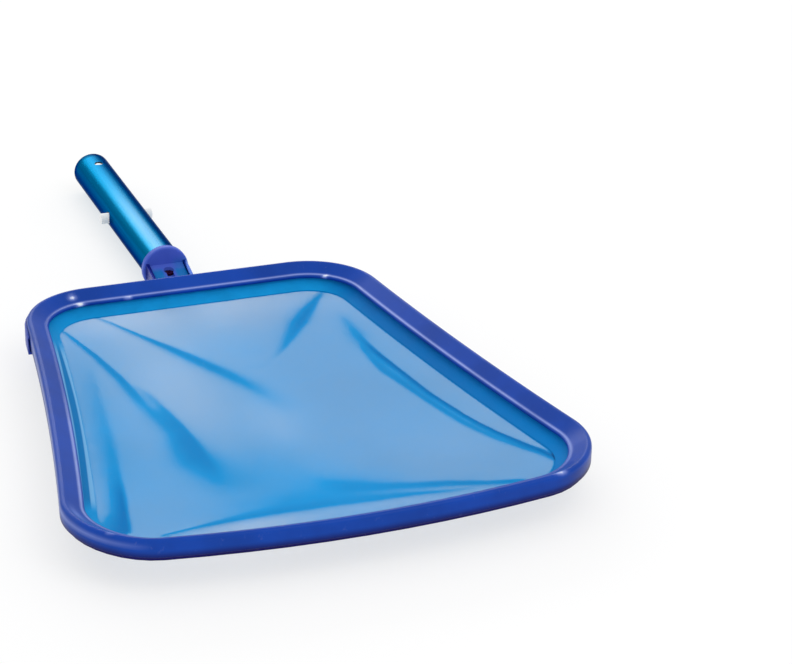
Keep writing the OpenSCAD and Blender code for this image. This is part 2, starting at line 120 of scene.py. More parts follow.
class TubeSizes(bpy.types.PropertyGroup):
    radius: length("Radius", "Outer radius of the tube", 0.01425)
    wall: length("Wall", "Thickness of the tube's wall", 0.0012)
    button_at: length("Button distance", "From the collar to the buttons", 0.102)
    button_hole: length("Button hole radius", "Radius of the two button holes", 0.0049)
    hang_hole: length("Hanging hole radius", "Radius of the hole near the free end", 0.00325)
    hang_in: length("Hanging hole distance", "From the free end to the hanging hole", 0.022)
    screw_hole: length("Screw hole radius", "Radius of the screw's hole below", 0.0017)
    screw_in: length("Screw distance", "From the collar to the tube screw", 0.014)


class Finishes(bpy.types.PropertyGroup):
    rim: colour("Rim", "Moulded plastic of the rim", (12, 66, 166))
    ring: colour("Clamp ring", "Moulded plastic of the clamp ring", (16, 10, 92))
    yoke: colour("Yoke", "Moulded plastic of the yoke", (38, 66, 172))
    socket: colour("Socket", "Moulded plastic of the socket", (76, 102, 208))
    tube: colour("Tube", "Dyed anodised layer of the tube", (0, 142, 186))
    bare_metal: colour("Bare metal", "Cut edges of the tube", (205, 210, 216))
    clip: colour("Clip", "White plastic of the spring clip", (246, 247, 248))
    thread: colour("Thread", "Thread of the net", (26, 150, 218))
    hem: colour("Hem", "Doubled cloth of the hem", (16, 146, 214))
    steel: colour("Steel", "Steel screws", (176, 178, 182))
    black_steel: colour("Blackened steel", "Neck screw", (70, 16, 52))


class StageLook(bpy.types.PropertyGroup):
    floor: colour("Floor", "Floor's colour", (255, 255, 255))
    shadow: share("Shadow", "How much of the object's shadow shows", 0.35, min=0, max=1)
    horizon: share("Horizon", "Brightness of the room near the floor", 0.75, min=0)
    overhead: share("Overhead", "Brightness of the room overhead", 1.1, min=0)


GROUPS = {"skimmer_frame": FrameSizes, "skimmer_cloth": ClothSizes, "skimmer_tube": TubeSizes,
          "skimmer_finish": Finishes, "skimmer_stage": StageLook}


# ---- surfaces ----

def length_run(points):
    """Length run along a line of points, from its first: the sum of the steps so far."""
    return np.concatenate([[0], np.cumsum(np.linalg.norm(np.diff(points, axis=0), axis=1))])


def unit(v):
    """Directions of length one."""
    return v / np.linalg.norm(v, axis=-1, keepdims=True)


def nearest_on(a, b, x, y):
    """How far each place x, y is from the stretch from a to b, and the share of the way to the point
    nearest to it: t = (p - a) . (b - a) / |b - a|^2, kept between 0 and 1."""
    d = b[:2] - a[:2]
    t = np.clip(((x - a[0]) * d[0] + (y - a[1]) * d[1]) / (d @ d), 0, 1)
    return np.hypot(x - a[0] - t * d[0], y - a[1] - t * d[1]), t


def frame_outline(f, arc=36, side=56):
    """Outline of the frame seen from above, clockwise from its back left corner, about its own middle.

    Four straight sides and four circular corners; then, with W the width at that y, the sides bow in
    by side_bow (1 - (2y/L)^2) (2x/W)^2 and the front bows out by front_bow (1 - (2x/W)^2) (2y/L)^2.
    Returns points, the unit direction inward at each, which is the chord of its neighbours turned by
    a right angle, and the length run.
    """
    length_y = f.frame_length
    corners = np.array([[-f.back_width, length_y], [f.back_width, length_y],
                        [f.front_width, -length_y], [-f.front_width, -length_y]]) / 2
    arcs = []
    for i, radius in enumerate((f.back_radius, f.back_radius, f.front_radius, f.front_radius)):
        here = corners[i]
        to_last, to_next = unit(corners[i - 1] - here), unit(corners[(i + 1) % 4] - here)
        half = math.acos(float(to_last @ to_next)) / 2
        centre = here + unit(to_last + to_next) * radius / math.sin(half)
        start = here + to_last * radius / math.tan(half) - centre
        angle = math.atan2(start[1], start[0]) - (math.pi - 2 * half) * np.linspace(0, 1, arc + 1)
        arcs.append(centre + radius * np.column_stack([np.cos(angle), np.sin(angle)]))
    steps = np.linspace(0, 1, side + 2)[1:-1, None]
    p = np.concatenate([q for i in range(4) for q in
                        (arcs[i], arcs[i][-1] + (arcs[(i + 1) % 4][0] - arcs[i][-1]) * steps)])
    x, y = p.T
    width = f.front_width + (f.back_width - f.front_width) * (y / length_y + 0.5)
    across = np.clip(1 - (2 * x / width) ** 2, 0, None)
    along = np.clip(1 - (2 * y / length_y) ** 2, 0, None)
    ahead = np.clip(-2 * y / length_y, 0, None) ** 2
    p = np.column_stack([x - f.side_bow * along * np.sign(x) * (2 * x / width) ** 2,
                         y - f.front_bow * across * ahead])
    d = unit(np.roll(p, -1, 0) - np.roll(p, 1, 0))
    return p, np.column_stack([d[:, 1], -d[:, 0]]), length_run(p)


def frame_middle_y(f):
    """Y of the frame's own middle: its back wall is half its length behind it."""
    return BACK_WALL - f.frame_length / 2


def carried(outline, inward, section, f):
    """Grid of a section of (inward, height over the crest) points carried along the outline, which
    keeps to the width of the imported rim."""
    u, z = section.T
    xy = outline[:, None] + inward[:, None] * u[:, None]
    x = np.clip(xy[..., 0], RIM_BOX[0][0], RIM_BOX[1][0])
    return np.dstack([x, xy[..., 1] + frame_middle_y(f), np.broadcast_to(z + CREST_Z, x.shape)])


def arc_points(centre, radius, start, end, steps):
    """Points on a circle between two angles in degrees."""
    a = np.radians(np.linspace(start, end, steps))
    return np.column_stack([centre[0] + radius * np.cos(a), centre[1] + radius * np.sin(a)])


def line_points(*stops, step=0.0015):
    """Points along a broken line, no further apart than step, without its last point."""
    out = []
    for a, b in zip(stops, stops[1:]):
        n = max(1, math.ceil(math.dist(a, b) / step))
        out.append(np.asarray(a) + (np.asarray(b) - a) * np.linspace(0, 1, n + 1)[:-1, None])
    return np.concatenate(out)


def grid_faces(rows, columns, wrap_rows, wrap_columns):
    """Quads of a grid of points, joined round where a direction wraps."""
    here = np.arange(rows * columns).reshape(rows, columns)
    down = np.roll(here, -1, 0)
    quads = np.stack([here, down, np.roll(down, -1, 1), np.roll(here, -1, 1)], -1)
    return quads[:rows - (not wrap_rows), :columns - (not wrap_columns)].reshape(-1, 4)


def signed_volume(points, faces):
    """Volume between faces and the origin, positive where they point outward: each face is split into
    triangles from its first corner, and each gives a . (b x c) / 6."""
    p = points[faces]
    return sum(np.einsum("ij,ij->", p[:, 0], np.cross(p[:, k], p[:, k + 1]))
               for k in range(1, faces.shape[1] - 1)) / 6


def put(name, data):
    """A new object of the scene that shows the data."""
    made = bpy.data.objects.new(name, data)
    bpy.context.scene.collection.objects.link(made)
    return made


def surface(name, grid, wrap=(False, False), caps=False, uv=None, sharp=40, outward=True, fields=None):
    """Mesh object of a grid of points. wrap joins each direction round, caps closes the two end rows
    with a fan about their middle, and a closed surface is turned so that its faces point outward. uv
    and fields hold a value for each point of a grid without caps."""
    rows, columns = grid.shape[:2]
    points = grid.reshape(-1, 3)
    faces = [grid_faces(rows, columns, *wrap)]
    if caps:
        for row, tip, way in ((0, len(points), -1), (rows - 1, len(points) + 1, 1)):
            edge = row * columns + np.arange(columns)
            faces.append(np.column_stack([np.full(columns, tip), edge, np.roll(edge, way)]))
        points = np.vstack([points, grid[0].mean(0), grid[-1].mean(0)])
    if outward and sum(signed_volume(points, block) for block in faces) < 0:
        faces = [block[:, ::-1] for block in faces]
    mesh = bpy.data.meshes.new(name)
    mesh.from_pydata(points, [], [face for block in faces for face in block.tolist()])
    if uv is not None:
        corners = np.empty(len(mesh.loops), np.int32)
        mesh.loops.foreach_get("vertex_index", corners)
        mesh.uv_layers.new(name="surface").data.foreach_set("uv", uv.reshape(-1, 2)[corners].ravel())
    for field, values in (fields or {}).items():
        layer = mesh.attributes.new(field, "FLOAT", "POINT")
        layer.data.foreach_set("value", values.ravel().astype(np.float32))
    mesh.update()
    mesh.shade_smooth()
    mesh.set_sharp_from_angle(angle=math.radians(sharp))
    return put(name, mesh)


def drill(name, centre, axis, radius, reach):
    """A round cutter: circles of one radius along X or Z, through the centre."""
    a = np.linspace(0, 2 * np.pi, 49)[:-1]
    along = np.array([-reach / 2, reach / 2])[:, None]
    one, two = radius * np.cos(a), radius * np.sin(a)
    parts = (along, one, two) if axis == "X" else (one, two, along)
    grid = np.dstack(np.broadcast_arrays(*parts)) + centre
    return surface(name, grid, (False, True), caps=True)


def apply_modifiers(piece):
    """Replaces a piece's mesh by the one that its modifiers make."""
    graph = bpy.context.evaluated_depsgraph_get()
    made = bpy.data.meshes.new_from_object(piece.evaluated_get(graph), depsgraph=graph)
    piece.modifiers.clear()
    piece.data = made


def softened(node, radius):
    """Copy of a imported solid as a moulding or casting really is: its points are merged, its flat faces
    joined, each edge sharper than 40 degrees is rounded, and what curves is shaded as a curve."""
    shell = bmesh.new()
    shell.from_mesh(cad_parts[node].data)
    bmesh.ops.remove_doubles(shell, verts=shell.verts, dist=1e-6)
    bmesh.ops.dissolve_limit(shell, angle_limit=math.radians(0.6), verts=shell.verts, edges=shell.edges)
    mesh = bpy.data.meshes.new(node + "_rounded")
    shell.to_mesh(mesh)
    shell.free()
    piece = put(mesh.name, mesh)
    rounded = piece.modifiers.new("rounded", "BEVEL")
    rounded.width, rounded.segments = radius, 2
    rounded.limit_method, rounded.angle_limit = "ANGLE", math.radians(40)
    apply_modifiers(piece)
    piece.data.shade_smooth()
    piece.data.set_sharp_from_angle(angle=math.radians(38))
    return piece


def band_heights(f):
    """Height over the crest of the band's top as a function of the distance inward, with its angle."""
    angle = math.atan2(f.band_drop, f.band_width - f.crest_radius)
    start = (f.crest_radius + CREST_INSET + f.crest_radius * math.sin(angle),
             -f.crest_radius + f.crest_radius * math.cos(angle))
    return (lambda u: start[1] - math.tan(angle) * (u - start[0])), angle


def rim_section(f):
    """Closed section of the rim: the wall's foot and inner side, the band's underside, the bead of
    three quarters of a turn, the band's top, the crest and the wall's outer side."""
    top, angle = band_heights(f)
    slope = math.degrees(angle)

    def over(u, lift=0.0):
        return u, top(u) + lift

    def under(u, lift=0.0):
        return u, top(u) - f.band_wall / math.cos(angle) + lift

    bead = f.band_width, top(f.band_width) - f.bead_radius + f.bead_lift
    crest = f.crest_radius + CREST_INSET, -f.crest_radius
    foot, edge, fillet = -f.wall_height, 0.0004, 0.0005
    inner = f.wall - 0.0002
    return np.concatenate([
        arc_points((edge, foot + edge), edge, 180, 270, 5),
        arc_points((inner - edge, foot + edge), edge, 270, 360, 5),
        line_points((inner, foot + 0.001), under(f.wall, -0.0004)),
        arc_points((f.wall + fillet, under(f.wall)[1] - 0.0007), fillet, 180, 90 - slope, 4),
        line_points(under(f.wall + 0.0011), under(f.band_width - f.bead_radius - 0.0006)),
        arc_points(bead, f.bead_radius, 192, 500 - slope, 26),
        line_points(over(f.band_width - 0.0018, 0.00008), over(crest[0] + 0.003), step=0.001),
        arc_points(crest, f.crest_radius, 90 - slope, 180, 14),
        line_points((0.0, -f.crest_radius - 0.0006), (0.0, foot + 0.0009)),
    ])


def hem_section(f, cloth):
    """Closed section of the hem: a middle line under the band, down past the bead and on to the hem's
    inner edge, and half the cloth's thickness to each side, square to it."""
    top, angle = band_heights(f)
    clearance = 0.0003
    lift = (f.band_wall + clearance + cloth.hem_thickness / 2) / math.cos(angle)
    bead_foot = top(f.band_width) - 2 * f.bead_radius
    path = [(0.0037, top(0.0037) - lift), (0.0112, top(0.0112) - lift),
            (0.0119, top(0.0119) - lift - 0.0006), (0.0126, bead_foot - 0.0010),
            (0.0142, bead_foot - 0.0021), (cloth.hem_width, -cloth.hem_drop)]
    middle = np.concatenate([line_points(*path, step=0.0007), [path[-1]]])
    d = unit(np.gradient(middle, axis=0))
    off = np.column_stack([-d[:, 1], d[:, 0]]) * cloth.hem_thickness / 2
    return np.concatenate([middle - off, (middle + off)[::-1]])


def tube_grid(t):
    """Wall of the tube: a closed profile of its outer and inner side, with four rounded edges at the
    ends, turned round the tube's axis."""
    edge, outer, inner, y0, y1 = 0.0003, t.radius, t.radius - t.wall, TUBE_START, TUBE_END
    profile = np.concatenate([
        arc_points((y0 + edge, outer - edge), edge, 180, 90, 4),
        line_points((y0 + 0.002, outer), (y1 - 0.001, outer), step=0.006),
        arc_points((y1 - edge, outer - edge), edge, 90, 0, 4),
        arc_points((y1 - edge, inner + edge), edge, 0, -90, 4),
        line_points((y1 - 0.001, inner), (y0 + 0.002, inner), step=0.006),
        arc_points((y0 + edge, inner + edge), edge, 270, 180, 4)])
    angle = np.linspace(0, 2 * np.pi, 145)[:-1, None]
    along, radius = profile.T[:, None]
    return np.dstack(np.broadcast_arrays(radius * np.sin(angle), along, AXIS_Z + radius * np.cos(angle)))


def line_inside(mesh, inner, was=0, lining=2):
    """Gives the lining's material to the faces whose middle is no further from the tube's axis than
    its inner side."""
    count = len(mesh.polygons)
    centres, kinds = np.empty(count * 3), np.empty(count, np.int32)
    mesh.polygons.foreach_get("center", centres)
    mesh.polygons.foreach_get("material_index", kinds)
    x, _, z = centres.reshape(-1, 3).T
    kinds[(np.hypot(x, z - AXIS_Z) < inner + 0.0001) & (kinds == was)] = lining
    mesh.polygons.foreach_set("material_index", kinds)


# Painted glints on the rim: small pale and white spots that stand in for the lamps' highlights. For each,
# x and y from the frame's middle and height over the crest, half sizes across and along, all in
# millimetres, and how pale.
PAINTED_GLINTS = (
    ((-84.5, 166, -3), (2.4, 2), 2), ((-80.4, 160.4, -6.4), (3, 1.4), 2.2),
    ((126.8, -183.2, 0), (3.4, 1.6), 1.6), ((-148.3, -169.1, 0), (1.3, 1.1), 1.5),
    ((-46, 161.2, -6), (1.6, 1.2), 1.7), ((96, 154, -6), (2, 1.2), 1.8),
    ((-159, -138, -2), (4.5, 9), .55), ((60, -191, -8), (2, 2), .9), ((80, -189, -8), (2.5, 2), .8),
    ((96, -188, -8), (2, 2), .9),
)


def rim_painted_light(outline, inward, section, f):
    """Stored edge value of the rim, which paints light and shade into its colour. Over zero, paler: a
    painted highlight along the bead's top, a painted reflection on the wall of the left side, and the
    painted glints. Under zero, deeper: painted shade at the wall's foot and on all the wall on the right.
    Left is where the direction inward points to +x. Lengths are in millimetres."""
    wall_reflection, right_wall_shade, glint_depth = 0.55, 0.7, 1.5
    u, z = section.T * 1000
    left = np.clip(inward[:, :1] * 1.6 - 0.5, 0, 1)
    right, front = np.clip(-inward[:, :1], 0, 1), np.clip(inward[:, 1:], 0, 1)
    ahead = np.clip((40 - outline[:, 1:] * 1000) / 60, 0, 1)
    outside = u < 0.5
    top, _ = band_heights(f)
    bead_u, bead_top = f.band_width * 1000 - 0.3, (top(f.band_width) + f.bead_lift) * 1000
    bead = np.exp(-((u - bead_u) / 0.9) ** 2 - ((z - bead_top) / 0.6) ** 2)
    # Painted highlight along the bead's top, fainter at the front and on the left.
    wear_and_painted_light = bead * (1 - 0.9 * front) * (1 - left * (1 - 0.75 * ahead))
    # Painted reflection on the wall of the left side.
    wear_and_painted_light += wall_reflection * left * outside * np.exp(-((z + 4.4) / 1.6) ** 2)
    # Painted shade: deeper at the wall's foot, and on all the wall on the right.
    wear_and_painted_light -= np.clip((-6.8 - z) / 3.6, 0, 1) ** 1.5 * (u < 1)
    wear_and_painted_light -= right_wall_shade * right * outside * np.clip((-2 - z) / 2, 0, 1)
    x, y = (outline[:, None] + inward[:, None] * u[:, None] / 1000).transpose(2, 0, 1) * 1000
    # Painted glints: small pale and white spots.
    for (x0, y0, z0), (wide, deep), pale in PAINTED_GLINTS:
        wear_and_painted_light += pale * np.exp(-((x - x0) / wide) ** 2 - ((y - y0) / deep) ** 2
                              - ((z - z0) / glint_depth) ** 2)
    return wear_and_painted_light


# ---- finishes ----

def maths(operation, reflected=False):
    """A method of Level that adds one Math node. Its reflected form takes the values the other way."""
    def method(self, *others):
        values = (*others, self) if reflected else (self, *others)
        return self.nodes.node("Math", {"operation": operation}, dict(enumerate(values)))
    return method


class Level:
    """A number socket of a node tree. Sums, products and comparisons of it add their Math nodes."""
    __add__, __radd__ = maths("ADD"), maths("ADD", reflected=True)
    __sub__, __rsub__ = maths("SUBTRACT"), maths("SUBTRACT", reflected=True)
    __mul__, __rmul__ = maths("MULTIPLY"), maths("MULTIPLY", reflected=True)
    __truediv__, __rtruediv__ = maths("DIVIDE"), maths("DIVIDE", reflected=True)
    __pow__, __rpow__ = maths("POWER"), maths("POWER", reflected=True)
    __gt__, __lt__, __abs__ = maths("GREATER_THAN"), maths("LESS_THAN"), maths("ABSOLUTE")
    part, larger, smaller = maths("FRACT"), maths("MAXIMUM"), maths("MINIMUM")

    def __init__(self, nodes, socket):
        self.nodes, self.socket = nodes, socket

    def smooth(self, low, high, to_low=0.0, to_high=1.0):
        """Smooth step from to_low to to_high between low and high."""
        return self.nodes.node("MapRange", {"interpolation_type": "SMOOTHSTEP"}, {
            "Value": self, "From Min": low, "From Max": high, "To Min": to_low, "To Max": to_high})


class Nodes:
    """A node tree, with one method that adds any node and short names for the nodes used most."""

    def __init__(self, owner):
        owner.use_nodes = True
        self.tree = owner.node_tree
        self.tree.nodes.clear()

    def set(self, node, values):
        """Gives a node's inputs their values or links, by name or number."""
        for key, value in values.items():
            socket = node.inputs[key]
            if isinstance(value, Level):
                value = value.socket
            if isinstance(value, bpy.types.NodeSocket):
                self.tree.links.new(value, socket)
            else:
                socket.default_value = value

    def add(self, kind, settings=None, values=None):
        """Adds a shader node of any kind: first its settings, then its inputs."""
        node = self.tree.nodes.new("ShaderNode" + kind)
        for key, value in (settings or {}).items():
            setattr(node, key, value)
        self.set(node, values or {})
        return node

    def node(self, kind, settings=None, values=None, out=0):
        """Adds a node and returns one of its outputs."""
        return Level(self, self.add(kind, settings, values).outputs[out])

    def stored(self, name):
        """A value stored at the piece's points."""
        return self.node("Attribute", {"attribute_name": name}, out="Fac")

    def parts(self, vector):
        """The three numbers of a vector."""
        split = self.add("SeparateXYZ", None, {"Vector": vector})
        return [Level(self, number) for number in split.outputs]

    def place(self):
        """X, Y and Z of the piece's own coordinates, in metres."""
        return self.parts(self.node("TexCoord", out="Object"))

    def flat(self):
        """The two numbers of the piece's own UV map, in metres along its surface."""
        return self.parts(self.node("UVMap", {"uv_map": "surface"}))[:2]

    def noise(self, scale, detail=4.0, rough=0.55, stretch=(1, 1, 1), turn=(0, 0, 0)):
        """Noise on the piece's own coordinates, which are scaled by stretch and turned."""
        where = self.node("Mapping", None, {"Vector": self.node("TexCoord", out="Object"),
                                            "Scale": stretch, "Rotation": turn})
        return self.node("TexNoise", None, {"Vector": where, "Scale": scale, "Detail": detail,
                                            "Roughness": rough})

    def blend(self, factor, first, second):
        """Two colours mixed by a number."""
        return self.node("Mix", {"data_type": "RGBA"}, {0: factor, 6: first, 7: second}, out=2)


class Finish(Nodes):
    """A procedural material: the nodes of one shader, whose sockets are set by name."""

    def __init__(self, name, shader="BsdfPrincipled", **constants):
        self.name, self.material = name, bpy.data.materials.new(name)
        super().__init__(self.material)
        self.shader = self.add(shader)
        self.output = self.add("OutputMaterial", None, {"Surface": self.shader.outputs[0]})
        self.feed(**constants)

    def feed(self, **values):
        """Sets the shader's sockets, named with underscores for spaces."""
        self.set(self.shader, {k.replace("_", " "): v for k, v in values.items()})

    def relief(self, height, strength, distance):
        """Feeds the shader's normal with bumps of that height, and returns the finish."""
        self.feed(Normal=self.node("Bump", None, {"Height": height, "Strength": strength,
                                                  "Distance": distance}))
        return self


def darker(shade, share):
    """A colour times a share, which may be over one."""
    return (*[c * share for c in shade[:3]], 1.0)


def moulded_plastic(name, shade, rough, coat=0.1, grain=0.5, scuffs=0.3, edges=0.0, deeper=None):
    """Moulded plastic: faint flow clouds in the colour, a fine skin, and thin scuffs that are paler and
    duller. Where edges is given, a stored edge value paints light and shade into the colour: over zero a
    pale painted highlight, over one a white painted glint, and under zero deeper painted shade. Where
    deeper is given, it paints more light or shade onto the colour."""
    finish = Finish(name, IOR=1.42, Coat_Roughness=0.14, Specular_IOR_Level=0.13)
    clouds, skin = finish.noise(26.0, 3.0), finish.noise(1500.0, 2.0)
    wear_and_painted_light = finish.noise(9.0, 5.0, 0.7, (14, 90, 14), (0.1, 0.2, 0.6)).smooth(0.63, 0.74)
    worn_too = finish.noise(8.0, 5.0, 0.7, (90, 16, 20), (0.3, 0.1, -0.4)).smooth(0.64, 0.75)
    marks = wear_and_painted_light.larger(worn_too) * scuffs
    body = finish.blend(clouds.smooth(0.3, 0.7), darker(shade, 0.88), darker(shade, 1.1))
    pale = (*[min(1.0, c * 0.7 + 0.10) for c in shade[:3]], 1.0)
    if deeper:
        body = deeper(finish, body)
    # Painted highlights, painted glints and painted shade from the stored edge value.
    if edges:
        edge = finish.stored("edge")
        body = finish.blend(edge * (clouds.smooth(0.2, 0.6) * 0.4 + 0.6) * edges, body,
                            srgb(150, 168, 232))
        body = finish.blend(edge - 1.0, body, srgb(250, 250, 255))
        body = finish.blend(abs(edge.smaller(0.0)) * 0.8, body, srgb(14, 8, 84))
    finish.feed(Base_Color=finish.blend(marks, body, pale),
                Roughness=clouds * 0.1 + rough - 0.05 + marks * 0.25 + skin * 0.04,
                Coat_Weight=coat - marks * coat)
    return finish.relief(skin * 0.6 + clouds * 2.0 - marks * 0.8, grain, 0.00005)


def neck_painted_shade(finish, body):
    """Painted shade: the neck is painted deeper in colour than the skirt, its left cheek darker and its
    right cheek bluer, as the light falls on them; and it is made partly metallic, so that its sheen takes
    its colour.
    """
    across, along, _ = finish.place()
    neck = along.smooth(NECK_START, NECK_START + 0.003)
    # Partly metallic, so that the neck's sheen takes its colour.
    finish.feed(Metallic=neck * 0.85)
    # Painted shade on the cheeks: darker on the left, bluer on the right.
    cheeks = finish.blend(across.smooth(-0.002, 0.006), srgb(26, 42, 146), srgb(2, 74, 164))
    return finish.blend(neck * 0.95, body, cheeks)


def tongue_painted_light(finish, body):
    """Painted light: clear blue patches painted to each side of the tongue's screw and on the lower right
    of the collar's face."""
    across, along, height = finish.place()
    ahead = along < COLLAR_FACE - 0.0006
    # Painted light: clear blue patches beside the tongue's screw and on the collar's face.
    tongue = (abs(across).smooth(0.0026, 0.0062) * ahead
              * along.smooth(COLLAR_FACE - 0.009, COLLAR_FACE - 0.002, 1.0, 0.0))
    face = (across.smooth(0.002, 0.009) * height.smooth(AXIS_Z - 0.001, AXIS_Z + 0.012, 1.0, 0.0)
            * (along < COLLAR_FACE + 0.0016))
    return finish.blend(tongue.larger(face * 0.75), body, srgb(0, 110, 184))


# The mouldings: which colour of the panel each has, and how its plastic differs.
PLASTICS = {
    # The rim's edges share sets how strongly its pale painted highlights show.
    "rim": dict(rough=0.32, coat=0.06, edges=0.8),
    "ring": dict(rough=0.45, coat=0.05, grain=0.7),
    "yoke": dict(rough=0.34, coat=0.08, deeper=neck_painted_shade),
    "socket": dict(rough=0.36, coat=0.08, deeper=tongue_painted_light),
    "clip": dict(rough=0.4, coat=0.05, scuffs=0.1),
}


def anodised_tube(c):
    """Dyed anodised aluminium: a metal whose drawn grain runs along the tube, with duller rubbed patches,
    and a painted highlight: a pale stripe along its top, with a thin coat only there, weaker toward the
    free end."""
    finish = Finish("tube_anodised", IOR=1.5, Coat_Roughness=0.18, Specular_Tint=srgb(0, 86, 132))
    drawn = finish.noise(1.0, 5.0, 0.65, (900, 9, 900))
    fine = finish.noise(1.0, 3.0, 0.6, (2600, 30, 2600))
    clouds = finish.noise(1.0, 3.0, stretch=(60, 22, 60))
    rubbed = finish.noise(1.0, 6.0, 0.7, (260, 26, 260)).smooth(0.58, 0.75)
    side, along, height = finish.place()
    # Painted highlight: a pale stripe along the top, with a thin coat, weaker toward the free end.
    painted_highlight = (side.smooth(-0.0115, -0.0035) * side.smooth(0.0005, 0.004, 1.0, 0.0) * (height > AXIS_Z)
             * along.smooth(TUBE_START + 0.05, TUBE_END - 0.02, 1.0, 0.35))
    body = finish.blend(drawn.smooth(0.3, 0.7), darker(c.tube, 0.86), c.tube)
    body = finish.blend(painted_highlight * 0.72, body, srgb(124, 156, 178))
    finish.feed(Base_Color=finish.blend(rubbed * 0.35, body, srgb(50, 165, 220)),
                Roughness=drawn * 0.1 + clouds * 0.06 + 0.17 + rubbed * 0.12,
                Metallic=1.0, Coat_Weight=painted_highlight * 0.2)
    return finish.relief(drawn * 0.7 + fine * 0.5, 0.35, 0.00006)


def worked_metal(name, shade, metallic, grain, dark, light, rough, strength, depth, specked=False):
    """Metal with fine marks along its grain, paler and duller, and with dull specks where it is plated."""
    finish = Finish(name, Metallic=metallic)
    marks = finish.noise(1.0, *grain)
    body = finish.blend(marks, darker(shade, dark), darker(shade, light))
    dull = marks * 0.2 + rough
    if specked:
        specks = finish.noise(1300.0, 3.0).smooth(0.6, 0.7)
        body = finish.blend(specks * 0.5, body, darker(shade, 0.45))
        dull, marks = dull + specks * 0.2, marks + specks * 0.5
    finish.feed(Base_Color=body, Roughness=dull)
    return finish.relief(marks, strength, depth)


# The other metals: colour of the panel, how metallic, the grain's detail, roughness and stretch, the
# darkest and palest share of the colour, roughness, the relief's strength and depth, and specks.
BRUSHED = (4.0, 0.6, (1800, 1800, 400))
METALS = {
    "cut_aluminium": ("bare_metal", 1.0, (3.0, 0.55, (900, 900, 5200)), 0.75, 1.0, 0.22, 0.3, 0.00003),
    # The tube's inside is painted dark, as painted shade.
    "tube_inside": ("tube", 0.6, (5.0, 0.6, (700, 12, 700)), 0.12, 0.3, 0.5, 0.4, 0.00005),
    "screw_steel": ("steel", 0.9, BRUSHED, 0.7, 1.0, 0.25, 0.3, 0.00004, True),
    "dark_screw": ("black_steel", 0.9, BRUSHED, 0.7, 1.0, 0.35, 0.3, 0.00004, True),
}


def net_mesh(c, cloth):
    """Fine open mesh: square cells between round threads. Where the net is pressed into a fold its threads
    lie closer, so the stored cover is higher there and less shows through. Where the cover is over 0.97
    its colour is also painted deeper, as painted shade in the creases, most of all where the cover is over
    one; and the right of the net is painted a little darker, as painted shade."""
    crease_shade_from, deep_crease_shade_from = 0.97, 1.36
    finish = Finish("net_mesh", IOR=1.4, Specular_IOR_Level=0.03)
    across, along = finish.flat()
    right, _, _ = finish.place()
    sway = finish.noise(30.0, 2.0) * 0.5
    cover = finish.stored("cover")
    cell_x = abs((across / cloth.pitch + sway).part() - 0.5)
    cell_y = abs((along / cloth.pitch + sway).part() - 0.5)
    thread = cell_x.larger(cell_y)
    hole = ((1 - cover) * 1.4).larger(0.004) ** 0.5 * 0.5
    tone = finish.noise(14.0, 3.0)
    body = finish.blend(tone.smooth(0.3, 0.7), darker(c.thread, 0.94), darker(c.thread, 1.05))
    # Painted shade: the right of the net a little darker.
    body = finish.blend(right.smooth(-0.01, 0.04) * 0.12, body, srgb(0, 60, 120))
    # Painted shade in the creases, where the cover is high.
    body = finish.blend((cover - crease_shade_from) * 3.2, body, srgb(0, 118, 190))
    finish.feed(Base_Color=finish.blend((cover - deep_crease_shade_from) * 6.0, body, srgb(0, 84, 146)),
                Roughness=tone * 0.1 + 0.55, Alpha=(thread - hole).smooth(-0.07, 0.07))
    return finish.relief(thread, 0.5, 0.0003)


def hem_cloth(c, cloth):
    """Doubled mesh of the hem: its two layers leave almost no opening, and the weave shows as relief.

    The right side is painted the deepest blue, as painted shade, less so at the front corner. The left
    side is painted as pale as the net, as painted light, with one line along it painted deeper, as painted
    shade. The stored inset is the distance from the hem's inner edge, in millimetres.
    """
    finish = Finish("hem_cloth", IOR=1.4, Specular_IOR_Level=0.06)
    along, across = finish.flat()
    side, back, _ = finish.place()
    inset = finish.stored("inset")
    # Painted shade: the right side deepest blue, less so at the front corner.
    right_shade = side.smooth(0.088, 0.112) * 0.75
    right_shade_blue = finish.blend(side.smooth(0.118, 0.150), srgb(0, 94, 172), srgb(0, 118, 196))
    # Painted light: the left side as pale as the net.
    left_pale = (side.smooth(-0.104, -0.096, 1.0, 0.0) * back.smooth(PALE_HEM_FRONT, PALE_HEM_FRONT + 0.018)
             * back.smooth(PALE_HEM_BACK - 0.03, PALE_HEM_BACK, 1.0, 0.0))
    # One line along the pale left side painted deeper, as painted shade.
    away = abs(inset - back.smooth(PALE_HEM_FRONT, PALE_HEM_FRONT + 0.14, 5.6, 4.0))
    half_width = back.smooth(PALE_HEM_BACK - 0.1, PALE_HEM_BACK, 2.3, 1.1)
    crease_shade = (away - half_width).smooth(-0.5, 0.5, 1.0, 0.0)
    waves = finish.noise(60.0, 3.0)
    cell_x = abs((along / cloth.pitch + waves * 0.4).part() - 0.5)
    cell_y = abs((across / cloth.pitch).part() - 0.5)
    weave = cell_x.larger(cell_y)
    tone = waves.smooth(0.3, 0.7) * 0.5 + weave
    body = finish.blend(right_shade, finish.blend(tone, darker(c.hem, 0.82), darker(c.hem, 1.1)), right_shade_blue)
    body = finish.blend(left_pale, body, finish.blend(crease_shade, srgb(112, 176, 224), srgb(4, 118, 184)))
    finish.feed(Base_Color=body, Roughness=waves * 0.15 + 0.45)
    return finish.relief(weave + waves * 2.0, 0.45, 0.00025)


FINISHES = {}    # the materials that are made, by name; a slot's finish has the slot's name


def dress(piece, slot_name, node, body=ROOT):
    """Gives a new piece the finish of its slot and its body, and hides the imported node that it stands
    for.
    """
    piece.data.materials.clear()
    piece.data.materials.append(FINISHES[slot_name])
    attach(piece, body)
    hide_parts(node)
